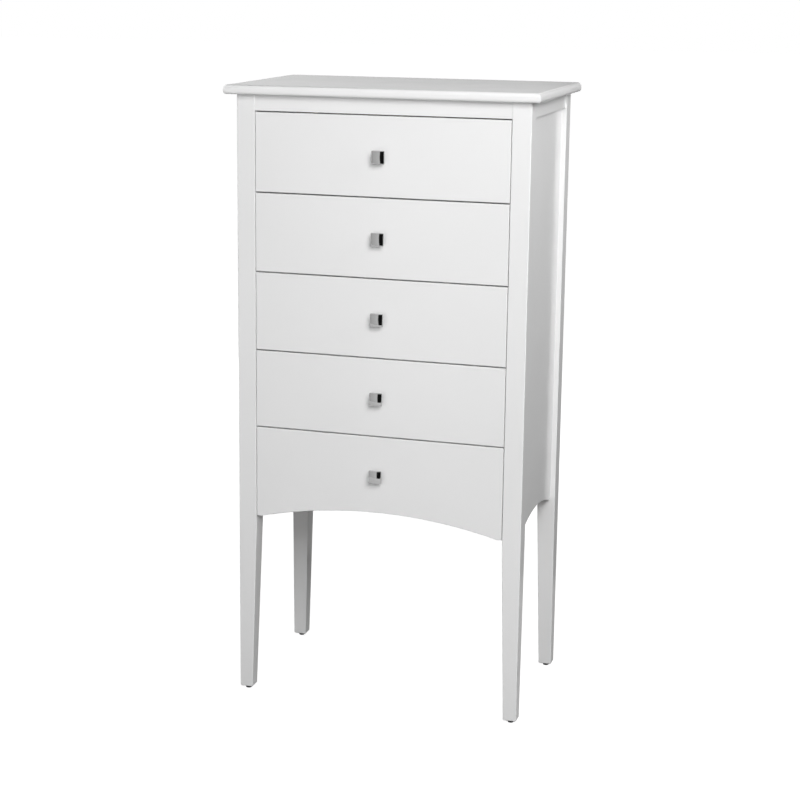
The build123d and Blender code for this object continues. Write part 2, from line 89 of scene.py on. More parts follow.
@dataclass
class NodeSheet:
    """A node tree that is being wired.

    Attributes:
        tree: The material, world or group tree that the nodes go into.
    """

    tree: bpy.types.NodeTree

    def add(self, kind: str, **values: object) -> bpy.types.Node:
        """Adds a node, sets its properties and sets or wires its inputs.

        Args:
            kind: Blender's name for the node type.
            values: Properties by name, and inputs by name with underscores for spaces. An input
                takes a plain value or the output that feeds it.

        Returns:
            The new node.
        """
        node = self.tree.nodes.new(kind)
        for name, value in values.items():
            if hasattr(node, name):
                setattr(node, name, value)
            elif isinstance(value, Socket):
                self.wire(value, node.inputs[name.replace("_", " ")])
            else:
                node.inputs[name.replace("_", " ")].default_value = value
        return node

    def wire(self, source: Socket, target: Socket) -> None:
        """Joins an output to an input."""
        self.tree.links.new(source, target)

    def math(self, operation: str, first: Socket, second: object) -> Socket:
        """Adds a math node.

        Args:
            operation: Blender's name for the operation.
            first: The socket that feeds the first input.
            second: A socket or a number for the second input.

        Returns:
            The node's output.
        """
        node = self.add("ShaderNodeMath", operation=operation)
        self.wire(first, node.inputs[0])
        if isinstance(second, Socket):
            self.wire(second, node.inputs[1])
        else:
            node.inputs[1].default_value = second
        return node.outputs[0]

    def blend(self, mask: Socket, low: Colour, high: Colour) -> Socket:
        """Adds a mix of two colours by a mask and returns its colour."""
        node = self.add("ShaderNodeMix", data_type="RGBA")
        node.inputs[6].default_value = low
        node.inputs[7].default_value = high
        self.wire(mask, node.inputs[0])
        return node.outputs[2]

    def spread(self, mask: Socket, low: float, high: float, start: float = 0.0, end: float = 1.0) -> Socket:
        """Adds a map from one range of values onto another.

        Args:
            mask: The value that is mapped.
            low: What comes out at the start of the mask's range.
            high: What comes out at its end.
            start: Start of the mask's range.
            end: End of the mask's range.

        Returns:
            The mapped value.
        """
        limits = {"From_Min": start, "From_Max": end, "To_Min": low, "To_Max": high}
        return self.add("ShaderNodeMapRange", Value=mask, **limits).outputs[0]

    def show(self, surface: Socket) -> None:
        """Shows a surface in the place of the material's own shader."""
        self.tree.nodes.remove(self.tree.nodes["Principled BSDF"])
        self.wire(surface, self.tree.nodes["Material Output"].inputs["Surface"])


def new_material(name: str) -> tuple[Material, NodeSheet, Socket]:
    """Makes a material with a Principled shader.

    Args:
        name: The material's name.

    Returns:
        The material, the sheet to wire and the object coordinates.
    """
    material = bpy.data.materials.new(name)
    material.use_nodes = True
    sheet = NodeSheet(material.node_tree)
    return material, sheet, sheet.add("ShaderNodeTexCoord").outputs["Object"]


class Grain(Enum):
    """Which way the grain of a board runs."""

    ALONG_X = "x"
    ALONG_Y = "y"
    ALONG_Z = "z"

    def turn(self) -> Euler:
        """Returns the turn that brings the grain onto Z."""
        turns = {
            Grain.ALONG_X: Euler((0.0, math.radians(90.0), 0.0)),
            Grain.ALONG_Y: Euler((math.radians(90.0), 0.0, 0.0)),
            Grain.ALONG_Z: Euler((0.0, 0.0, 0.0)),
        }
        return turns[self]

    def follow(self, sheet: NodeSheet, place: Socket) -> Socket:
        """Turns a material's coordinates so that the grain runs along Z."""
        return sheet.add("ShaderNodeMapping", Vector=place, Rotation=self.turn()).outputs[0]


class SharedEffects:
    """The shader groups that several finishes use, each built once."""

    def __init__(self) -> None:
        """Builds the groups."""
        self.mottle = self._build_mottle()
        self.grain = self._build_grain()

    @staticmethod
    def use(
        group: bpy.types.NodeTree, sheet: NodeSheet, place: Socket, **values: float
    ) -> Mapping[str, Socket]:
        """Places a group in a material with its own values.

        Args:
            group: The group.
            sheet: The material's sheet.
            place: The coordinates that it follows.
            values: Its inputs by name, with underscores for spaces.

        Returns:
            The group's outputs by name.
        """
        return sheet.add("ShaderNodeGroup", node_tree=group, Place=place, **values).outputs

    @staticmethod
    def _new_group(
        name: str, inputs: dict[str, float], outputs: tuple[str, ...]
    ) -> tuple[NodeSheet, bpy.types.Node, bpy.types.Node]:
        """Makes an empty group.

        Args:
            name: The group's name.
            inputs: Number inputs and their usual values; a Place vector is always there.
            outputs: Names of the values it puts out.

        Returns:
            The sheet to wire, its input node and its output node.
        """
        group = bpy.data.node_groups.new(name, "ShaderNodeTree")
        group.interface.new_socket("Place", in_out="INPUT", socket_type="NodeSocketVector")
        for label, value in inputs.items():
            socket = group.interface.new_socket(label, in_out="INPUT", socket_type="NodeSocketFloat")
            socket.default_value = value
        for label in outputs:
            group.interface.new_socket(label, in_out="OUTPUT", socket_type="NodeSocketFloat")
        return NodeSheet(group), group.nodes.new("NodeGroupInput"), group.nodes.new("NodeGroupOutput")

    def _build_mottle(self) -> bpy.types.NodeTree:
        """Builds soft clouds and a fine pebbled surface, as sprayed coats and castings have.

        Returns:
            A group with the outputs Cloud and Pebble, both from 0 to 1.
        """
        scales = {"Cloud Scale": 4.0, "Pebble Scale": 400.0}
        sheet, source, result = self._new_group("mottle", scales, ("Cloud", "Pebble"))
        for name, detail, roughness in (("Cloud", 4.0, 0.55), ("Pebble", 2.0, 0.5)):
            texture = sheet.add("ShaderNodeTexNoise", Detail=detail, Roughness=roughness)
            sheet.wire(source.outputs["Place"], texture.inputs["Vector"])
            sheet.wire(source.outputs[f"{name} Scale"], texture.inputs["Scale"])
            sheet.wire(texture.outputs[0], result.inputs[name])
        return sheet.tree

    def _build_grain(self) -> bpy.types.NodeTree:
        """Builds wood grain along Z: wandering growth rings and short dark fibres.

        Returns:
            A group with the outputs Ring and Fibre, both from 0 to 1.
        """
        scales = {"Rings": 90.0, "Fibres": 900.0}
        sheet, source, result = self._new_group("grain", scales, ("Ring", "Fibre"))
        place = source.outputs["Place"]
        ring_way = sheet.add("ShaderNodeMapping", Vector=place, Scale=(1.0, 1.0, 0.06))
        fibre_way = sheet.add("ShaderNodeMapping", Vector=place, Scale=(1.0, 1.0, 0.012))
        rings = sheet.add("ShaderNodeTexWave", Distortion=9.0, Detail=3.0, Detail_Scale=0.35)
        rings.bands_direction = "DIAGONAL"
        fibres = sheet.add("ShaderNodeTexNoise", Detail=3.0, Roughness=0.6)
        for texture, way, scale in ((rings, ring_way, "Rings"), (fibres, fibre_way, "Fibres")):
            sheet.wire(way.outputs[0], texture.inputs["Vector"])
            sheet.wire(source.outputs[scale], texture.inputs["Scale"])
        sheet.wire(rings.outputs[1], result.inputs["Ring"])
        sheet.wire(fibres.outputs[0], result.inputs["Fibre"])
        return sheet.tree


# Finishes


@dataclass(frozen=True)
class Pattern:
    """What a finish follows; every value in it is from 0 to 1.

    Attributes:
        colour: Blends the finish's two colours.
        roughness: Blends its two roughnesses.
        bumps: Its bumps, one over the other, each with its depth in metres.
    """

    colour: Socket
    roughness: Socket
    bumps: list[tuple[Socket, float]]


@dataclass(frozen=True, kw_only=True)
class Finish:
    """What every finish has: two colours and two roughnesses that its pattern blends, and bumps.

    Attributes:
        name: The material's name.
        low: The colour where the pattern is lowest.
        high: The colour where it is highest.
        smooth: The roughness where the pattern is lowest.
        rough: The roughness where it is highest.
        depth: Depth of the finest bumps, in metres.
        metallic: 1 for bare metal and 0 for anything else.
    """

    name: str
    low: Colour
    high: Colour
    smooth: float
    rough: float
    depth: float
    metallic: float = 0.0

    def pattern(self, sheet: NodeSheet, place: Socket, effects: SharedEffects) -> Pattern:
        """Wires the pattern of the finish.

        Args:
            sheet: The material's sheet.
            place: The object coordinates.
            effects: The shared shader groups.

        Returns:
            The pattern.
        """
        raise NotImplementedError

    def material(self, effects: SharedEffects) -> Material:
        """Builds the material."""
        material, sheet, place = new_material(self.name)
        shader = sheet.tree.nodes["Principled BSDF"]
        shader.inputs["Metallic"].default_value = self.metallic
        pattern = self.pattern(sheet, place, effects)
        sheet.wire(sheet.blend(pattern.colour, self.low, self.high), shader.inputs["Base Color"])
        sheet.wire(sheet.spread(pattern.roughness, self.smooth, self.rough), shader.inputs["Roughness"])
        below = None
        for height, depth in pattern.bumps:
            bump = sheet.add("ShaderNodeBump", Distance=depth, Height=height)
            if below is not None:
                sheet.wire(below.outputs[0], bump.inputs["Normal"])
            below = bump
        sheet.wire(below.outputs[0], shader.inputs["Normal"])
        return material


@dataclass(frozen=True, kw_only=True)
class Mottled(Finish):
    """A finish with soft clouds and fine pebbles.

    Attributes:
        cloud_scale: How close together the clouds are.
        pebble_scale: How close together the pebbles are.
    """

    cloud_scale: float
    pebble_scale: float

    def pattern(self, sheet: NodeSheet, place: Socket, effects: SharedEffects) -> Pattern:
        """Lets the clouds blend the finish and the pebbles raise it."""
        scales = {"Cloud_Scale": self.cloud_scale, "Pebble_Scale": self.pebble_scale}
        marks = effects.use(effects.mottle, sheet, place, **scales)
        return Pattern(marks["Cloud"], marks["Cloud"], [(marks["Pebble"], self.depth)])


@dataclass(frozen=True, kw_only=True)
class Paint(Mottled):
    """Satin paint over wood, with the grain just showing through.

    Attributes:
        grain: The way the grain runs under the paint.
        fibres: How close together the wood's fibres are.
        fibre_depth: Depth of the fibres under the paint, in metres.
    """

    grain: Grain
    low: Colour = grey(0.825)
    high: Colour = grey(0.86)
    smooth: float = 0.17
    rough: float = 0.26
    depth: float = 0.03 * MM
    cloud_scale: float = 5.0
    pebble_scale: float = 520.0
    fibres: float = 700.0
    fibre_depth: float = 0.04 * MM

    def pattern(self, sheet: NodeSheet, place: Socket, effects: SharedEffects) -> Pattern:
        """Lays the coat over the fibres of the wood."""
        coat = super().pattern(sheet, place, effects)
        wood = effects.use(effects.grain, sheet, self.grain.follow(sheet, place), Fibres=self.fibres)
        return replace(coat, bumps=[(wood["Fibre"], self.fibre_depth), *coat.bumps])


@dataclass(frozen=True, kw_only=True)
class BareWood(Finish):
    """Sanded, unpainted wood, pale between the rings and darker in them.

    Attributes:
        grain: The way the grain runs.
        rings: How close together the growth rings are.
        fibres: How close together the fibres are.
    """

    grain: Grain
    low: Colour = (0.66, 0.47, 0.28, 1.0)
    high: Colour = (0.50, 0.32, 0.17, 1.0)
    smooth: float = 0.55
    rough: float = 0.7
    depth: float = 0.12 * MM
    rings: float = 45.0
    fibres: float = 600.0

    def pattern(self, sheet: NodeSheet, place: Socket, effects: SharedEffects) -> Pattern:
        """Lets rings and fibres colour the wood and the fibres raise it."""
        along = self.grain.follow(sheet, place)
        wood = effects.use(effects.grain, sheet, along, Rings=self.rings, Fibres=self.fibres)
        dark = sheet.math("MULTIPLY", wood["Ring"], wood["Fibre"])
        return Pattern(dark, wood["Ring"], [(wood["Fibre"], self.depth)])


@dataclass(frozen=True, kw_only=True)
class PressedBoard(Mottled):
    """Thin brown board pressed from wood fibre.

    Attributes:
        contrast: How strongly its two colours differ from spot to spot.
    """

    low: Colour = (0.21, 0.125, 0.065, 1.0)
    high: Colour = (0.33, 0.215, 0.12, 1.0)
    smooth: float = 0.45
    rough: float = 0.6
    depth: float = 0.06 * MM
    cloud_scale: float = 14.0
    pebble_scale: float = 650.0
    contrast: float = 2.0

    def pattern(self, sheet: NodeSheet, place: Socket, effects: SharedEffects) -> Pattern:
        """Lets clouds and fibres colour the board together."""
        marks = super().pattern(sheet, place, effects)
        fibre, _ = marks.bumps[0]
        both = sheet.math("MULTIPLY", marks.colour, fibre)
        return replace(marks, colour=sheet.math("MULTIPLY", both, self.contrast))


@dataclass(frozen=True, kw_only=True)
class Metal(Mottled):
    """Plated metal, with faint smears and fine marks."""

    metallic: float = 1.0
    cloud_scale: float = 120.0
    pebble_scale: float = 2600.0


@dataclass(frozen=True, kw_only=True)
class Plastic(Mottled):
    """Dark moulded plastic with a fine texture."""

    low: Colour = grey(0.03)
    high: Colour = grey(0.05)
    smooth: float = 0.4
    rough: float = 0.55
    depth: float = 0.03 * MM
    cloud_scale: float = 200.0
    pebble_scale: float = 2200.0


class Palette:
    """Every material of the chest, built once."""

    def __init__(self, effects: SharedEffects) -> None:
        """Builds the materials.

        Args:
            effects: The shared shader groups.
        """
        chrome = Metal(
            name="bright_chrome", low=grey(0.56), high=grey(0.52), smooth=0.03, rough=0.07, depth=0.002 * MM
        )
        bright = (0.60, 0.60, 0.57, 1.0)
        clouded = (0.47, 0.48, 0.50, 1.0)
        zinc = Metal(name="zinc", low=bright, high=clouded, smooth=0.28, rough=0.42, depth=0.01 * MM)
        self.paint: dict[Grain, Material] = {}
        self.wood: dict[Grain, Material] = {}
        for way in Grain:
            self.paint[way] = Paint(name=f"white_paint_{way.value}", grain=way).material(effects)
            self.wood[way] = BareWood(name=f"bare_wood_{way.value}", grain=way).material(effects)
        self.board = PressedBoard(name="pressed_board").material(effects)
        self.chrome = chrome.material(effects)
        self.zinc = zinc.material(effects)
        self.plastic = Plastic(name="moulded_plastic").material(effects)


def dress(node: str, material: Material) -> None:
    """Gives a CAD node a material."""
    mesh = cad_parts[node].data
    mesh.materials.clear()
    mesh.materials.append(material)
    LOG.info("dressed %s with %s", node, material.name)


# Modelling of the small pieces


def shell_boxes(node: str) -> list[Box]:
    """Finds the boxes of the separate solids in a CAD node.

    Args:
        node: The node's name.

    Returns:
        The lowest and highest corner of each solid, in metres.
    """
    cage = bmesh.new()
    cage.from_mesh(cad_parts[node].data)
    bmesh.ops.remove_doubles(cage, verts=cage.verts, dist=WELD)
    waiting = set(cage.verts)
    boxes = []
    for first in cage.verts:
        if first not in waiting:
            continue
        waiting.discard(first)
        shell = [first]
        for point in shell:
            near = [edge.other_vert(point) for edge in point.link_edges]
            fresh = [other for other in near if other in waiting]
            waiting.difference_update(fresh)
            shell.extend(fresh)
        low = Vector([min(point.co[axis] for point in shell) for axis in range(3)])
        high = Vector([max(point.co[axis] for point in shell) for axis in range(3)])
        boxes.append((low, high))
    cage.free()
    return boxes


def place_facing(box: Box, way: Vector) -> Matrix:
    """Finds the turn and move that bring an upright model to a solid's box.

    Args:
        box: The lowest and highest corner of the solid.
        way: The way that the model's top, which is at the origin, comes to face.

    Returns:
        The turn and move.
    """
    low, high = box
    reach = Vector([abs(part) for part in way]).dot(high - low) / 2
    turn = UP.rotation_difference(way).to_matrix().to_4x4()
    return Matrix.Translation((low + high) / 2 + way * reach) @ turn


@dataclass
class Model:
    """A small piece that is shaped once in edit mode and then copied to its places.

    Attributes:
        piece: The object that is being shaped.
    """

    piece: bpy.types.Object

    @classmethod
    def from_rod(cls, name: str, radius: float, height: float, sides: int) -> "Model":
        """Starts from a rod whose top is at the origin.

        Args:
            name: The piece's name.
            radius: The rod's radius, in metres.
            height: Its height, in metres.
            sides: How many flat sides stand for its round.

        Returns:
            The model, in edit mode.
        """
        bpy.ops.object.select_all(action="DESELECT")
        middle = (0.0, 0.0, -height / 2)
        bpy.ops.mesh.primitive_cylinder_add(vertices=sides, radius=radius, depth=height, location=middle)
        return cls._opened(name)

    @classmethod
    def from_block(cls, name: str, side: float) -> "Model":
        """Starts from a cube at the origin, in edit mode."""
        bpy.ops.object.select_all(action="DESELECT")
        bpy.ops.mesh.primitive_cube_add(size=side)
        return cls._opened(name)

    @classmethod
    def _opened(cls, name: str) -> "Model":
        """Names the new primitive, puts its place in its mesh and opens it in edit mode."""
        piece = bpy.context.object
        piece.name = name
        bpy.ops.object.transform_apply(location=True, rotation=True, scale=True)
        bpy.ops.object.mode_set(mode="EDIT")
        bpy.ops.mesh.select_mode(type="FACE")
        return cls(piece)

    def pick(self, test: FaceTest) -> None:
        """Selects only the faces that pass a test."""
        bpy.ops.mesh.select_all(action="DESELECT")
        cage = bmesh.from_edit_mesh(self.piece.data)
        for face in cage.faces:
            face.select_set(test(face))
        bmesh.update_edit_mesh(self.piece.data)

    def pick_edges(self, test: EdgeTest) -> None:
        """Selects only the edges that pass a test."""
        bpy.ops.mesh.select_mode(type="EDGE")
        bpy.ops.mesh.select_all(action="DESELECT")
        cage = bmesh.from_edit_mesh(self.piece.data)
        for edge in cage.edges:
            edge.select_set(test(edge))
        bmesh.update_edit_mesh(self.piece.data)

    def pick_top(self) -> None:
        """Selects the faces that point straight up."""
        self.pick(lambda face: face.normal.z > STRAIGHT)

    def pick_bottom(self) -> None:
        """Selects the faces that point straight down."""
        self.pick(lambda face: face.normal.z < -STRAIGHT)

    @staticmethod
    def draw_out(height: float) -> None:
        """Extrudes the selected faces up, or down where the height is negative."""
        bpy.ops.mesh.extrude_region_move(TRANSFORM_OT_translate={"value": (0.0, 0.0, height)})

    @staticmethod
    def widen(ratio: float) -> None:
        """Scales the selected faces about the piece's axis."""
        bpy.ops.transform.resize(value=(ratio, ratio, 1.0), center_override=(0.0, 0.0, 0.0))

    @staticmethod
    def inset(width: float) -> None:
        """Insets the selected faces."""
        bpy.ops.mesh.inset(thickness=width)

    @staticmethod
    def round_edges(width: float, steps: int) -> None:
        """Bevels the selected edges, or the edges of the selected faces."""
        bpy.ops.mesh.bevel(offset=width, segments=steps, affect="EDGES")

    def close(self) -> None:
        """Leaves edit mode and shades the round faces smooth."""
        bpy.ops.object.mode_set(mode="OBJECT")
        bpy.ops.object.select_all(action="DESELECT")
        self.piece.select_set(True)
        bpy.context.view_layer.objects.active = self.piece
        bpy.ops.object.shade_smooth_by_angle(angle=SMOOTH_ANGLE)

    def cut(self, cutter: "Model") -> None:
        """Cuts another model out of this one, and uses that model up."""
        self._combine(cutter, "DIFFERENCE")

    def unite(self, other: "Model") -> None:
        """Makes one body of this model and another, and uses that model up."""
        self._combine(other, "UNION")

    def _combine(self, other: "Model", operation: str) -> None:
        """Applies a boolean operation with another model."""
        other.close()
        change = self.piece.modifiers.new("combine", "BOOLEAN")
        change.object = other.piece
        change.operation = operation
        change.solver = "EXACT"
        self.close()
        bpy.ops.object.modifier_apply(modifier=change.name)
        other.discard()

    def copy_to(self, places: list[Matrix], name: str) -> bpy.types.Object:
        """Copies the piece to each place and joins the copies into one object.

        Args:
            places: The turn and move of each copy.
            name: The joined object's name.

        Returns:
            The joined object, at the origin.
        """
        bpy.ops.object.select_all(action="DESELECT")
        for place in places:
            twin = bpy.data.objects.new(name, self.piece.data.copy())
            twin.data.transform(place)
            bpy.context.scene.collection.objects.link(twin)
            twin.select_set(True)
            bpy.context.view_layer.objects.active = twin
        if len(places) > 1:
            bpy.ops.object.join()
        joined = bpy.context.view_layer.objects.active
        joined.name = name
        return joined

    def discard(self) -> None:
        """Takes the model away once its copies stand."""
        mesh = self.piece.data
        bpy.data.objects.remove(self.piece)
        bpy.data.meshes.remove(mesh)


def hand_over(piece: bpy.types.Object, material: Material, body: str, node: str) -> None:
    """Dresses a finished piece and sets it in the place of a CAD node.

    Args:
        piece: The finished piece.
        material: Its material.
        body: The body that it rides on.
        node: The CAD node that it stands for.
    """
    piece.data.materials.clear()
    piece.data.materials.append(material)
    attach(piece, body)
    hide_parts(node)
    LOG.info("built %s for %s", piece.name, node)


@dataclass
class ScrewSet:
    """The screws of one CAD node: head with a driver's cross, ridged shank and point.

    Attributes:
        node: The CAD node that the screws stand for.
        body: The body that they ride on.
        head: The shape of the head.
        shank: Diameter over the thread, in metres.
        head_height: Height of the head, in metres.
        sides: Flat sides that stand for the round.
        core: Diameter under the thread, as a share of the shank.
        pitch: Distance between two ridges, as a share of the shank.
        point: Length of the point, as a share of the shank.
        tip: Width of the point's end, as a share of the core.
        pan_crown: Radius of a pan head's upper edge, as a share of the head's height.
        sunk_crown: The same for a countersunk head.
        crown_steps: How many facets round that edge.
        cross_reach: Length of the cross from its middle, as a share of the head's radius.
        cross_width: Width of its arms, as a share of the head's radius.
        cross_depth: Its depth, as a share of the head's height.
        cross_taper: Its width at the bottom, as a share of that at the top.
    """

    node: str
    body: str
    head: ScrewHead
    shank: float
    head_height: float
    sides: int = 16
    core: float = 0.72
    pitch: float = 0.42
    point: float = 1.2
    tip: float = 0.12
    pan_crown: float = 0.45
    sunk_crown: float = 0.08
    crown_steps: int = 3
    cross_reach: float = 0.52
    cross_width: float = 0.24
    cross_depth: float = 0.6
    cross_taper: float = 0.45

    def build(self, material: Material, heads_face: Callable[[Vector], Vector]) -> None:
        """Models one screw and copies it to each of the node's solids.

        Args:
            material: The material of the screws.
            heads_face: Gives the way a screw's head faces from the middle of its solid.
        """
        boxes = shell_boxes(self.node)
        ways = [heads_face((low + high) / 2) for low, high in boxes]
        axis = max(range(3), key=lambda index: abs(ways[0][index]))
        low, high = boxes[0]
        size = high - low
        width = max(size[index] for index in range(3) if index != axis)
        model = self.model(width / 2, size[axis])
        places = [place_facing(box, way) for box, way in zip(boxes, ways)]
        piece = model.copy_to(places, f"{self.node}_detailed")
        model.discard()
        hand_over(piece, material, self.body, self.node)

    def model(self, radius: float, length: float) -> Model:
        """Shapes a screw that points down, with the top of its head at the origin.

        Args:
            radius: The head's radius, in metres.
            length: The whole length, in metres.

        Returns:
            The finished model.
        """
        core_radius = self.core * self.shank / 2
        screw = Model.from_rod("screw", radius, self.head_height, self.sides)
        screw.pick_bottom()
        if self.head is ScrewHead.COUNTERSUNK:
            screw.widen(core_radius / radius)
        else:
            screw.inset(radius - core_radius)
        self.draw_thread(screw, length - self.head_height)
        screw.pick_top()
        crown = self.pan_crown if self.head is ScrewHead.PAN else self.sunk_crown
        screw.round_edges(crown * self.head_height, self.crown_steps)
        screw.close()
        screw.cut(self.cross(radius))
        return screw

    def draw_thread(self, screw: Model, length: float) -> None:
        """Draws the shank down from the selected face, with its ridges and its point.

        Args:
            screw: The model.
            length: Length of shank and point, in metres.
        """
        half_pitch = self.pitch * self.shank / 2
        point = self.point * self.shank
        ridges = int((length - point) / (2 * half_pitch))
        neck = length - point - ridges * 2 * half_pitch
        screw.draw_out(-neck)
        for _ in range(ridges):
            screw.draw_out(-half_pitch)
            screw.widen(1 / self.core)
            screw.draw_out(-half_pitch)
            screw.widen(self.core)
        screw.draw_out(-point)
        screw.widen(self.tip)

    def cross(self, radius: float) -> Model:
        """Shapes the tapered cross that a driver fits, set to be cut from a head.

        Args:
            radius: The head's radius, in metres.

        Returns:
            The model, in edit mode.
        """
        width = self.cross_width * radius
        cross = Model.from_block("driver_cross", width)
        cross.pick(lambda face: abs(face.normal.z) < STRAIGHT)
        reach = self.cross_reach * radius - width / 2
        bpy.ops.mesh.extrude_faces_move(TRANSFORM_OT_shrink_fatten={"value": reach})
        cross.pick_bottom()
        depth = self.cross_depth * self.head_height - width / 2
        bpy.ops.transform.translate(value=(0.0, 0.0, -depth))
        cross.widen(self.cross_taper)
        return cross


@dataclass
class Glides:
    """The glides under the legs: a rounded foot with a sunk nail.

    Attributes:
        node: The CAD node that they stand for.
        foot_height: Height of the foot, in metres.
        foot_round: Radius of its lower edge, in metres.
        round_steps: How many facets round that edge.
        nail: Diameter of the nail, in metres.
        nail_straight: Share of the nail above its point.
        nail_tip: Width of the point's end, as a share of the nail.
        nail_head: Diameter of the nail's head, in metres.
        head_gap: Gap round the nail's head, in metres.
        head_sunk: Depth of the recess that the head lies in, in metres.
        head_edge: Height of the head's edge, in metres.
        head_slope: Width of the slope on the head, in metres.
        head_crown: Height of that slope, in metres.
        sides: Flat sides that stand for the round.
    """

    node: str = "leg_glides"
    foot_height: float = 6.0 * MM
    foot_round: float = 1.2 * MM
    round_steps: int = 4
    nail: float = 2.5 * MM
    nail_straight: float = 0.85
    nail_tip: float = 0.15
    nail_head: float = 5.0 * MM
    head_gap: float = 0.4 * MM
    head_sunk: float = 0.8 * MM
    head_edge: float = 0.3 * MM
    head_slope: float = 0.8 * MM
    head_crown: float = 0.2 * MM
    sides: int = 32

    def build(self, material: Material) -> None:
        """Models one glide and copies it under each leg."""
        boxes = shell_boxes(self.node)
        low, high = boxes[0]
        model = self.model((high.x - low.x) / 2, high.z - low.z)
        tops = [Vector(((low + high) / 2).xy.to_tuple() + (low.z + self.foot_height,)) for low, high in boxes]
        piece = model.copy_to([Matrix.Translation(top) for top in tops], f"{self.node}_detailed")
        model.discard()
        hand_over(piece, material, "carcass", self.node)

    def model(self, radius: float, height: float) -> Model:
        """Shapes a glide whose foot has its top at the origin.

        Args:
            radius: The foot's radius, in metres.
            height: Height of foot and nail, in metres.

        Returns:
            The finished model.
        """
        glide = Model.from_rod("glide", radius, self.foot_height, self.sides)
        glide.pick_top()
        glide.inset(radius - self.nail / 2)
        shaft = height - self.foot_height
        glide.draw_out(self.nail_straight * shaft)
        glide.draw_out((1 - self.nail_straight) * shaft)
        glide.widen(self.nail_tip)
        glide.pick_bottom()
        glide.round_edges(self.foot_round, self.round_steps)
        glide.pick_bottom()
        glide.inset(radius - self.foot_round - self.nail_head / 2 - self.head_gap)
        glide.draw_out(self.head_sunk)
        glide.inset(self.head_gap)
        glide.draw_out(-self.head_edge)
        glide.inset(self.head_slope)
        glide.draw_out(-self.head_crown)
        glide.close()
        return glide


@dataclass
class TopBoard:
    """The top, with a round nose along the front and both ends.

    Attributes:
        node: The CAD node that it stands for.
        upper_round: Radius of the upper half of the nose, in metres.
        lower_round: Radius of the lower half, in metres.
        steps: How many facets round each half.
    """

    node: str = "top_slab"
    upper_round: float = 8.5 * MM
    lower_round: float = 6.0 * MM
    steps: int = 10

    def build(self, material: Material) -> None:
        """Models the board in the box of the plain one."""
        low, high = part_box(self.node)
        board = Model.from_block(f"{self.node}_detailed", 1.0)
        bpy.ops.mesh.select_all(action="SELECT")
        bpy.ops.transform.resize(value=high - low)
        bpy.ops.transform.translate(value=(low + high) / 2)
        for level, radius in ((high.z, self.upper_round), (low.z, self.lower_round)):
            board.pick_edges(lambda edge: self.has_nose(edge, level, high.y))
            board.round_edges(radius, self.steps)
        board.close()
        hand_over(board.piece, material, "carcass", self.node)

    @staticmethod
    def has_nose(edge: bmesh.types.BMEdge, level: float, back: float) -> bool:
        """Returns whether an edge of the board lies at a level and not along the back."""
        on_level = all(abs(point.co.z - level) < TOUCH for point in edge.verts)
        at_back = all(abs(point.co.y - back) < TOUCH for point in edge.verts)
        return on_level and not at_back


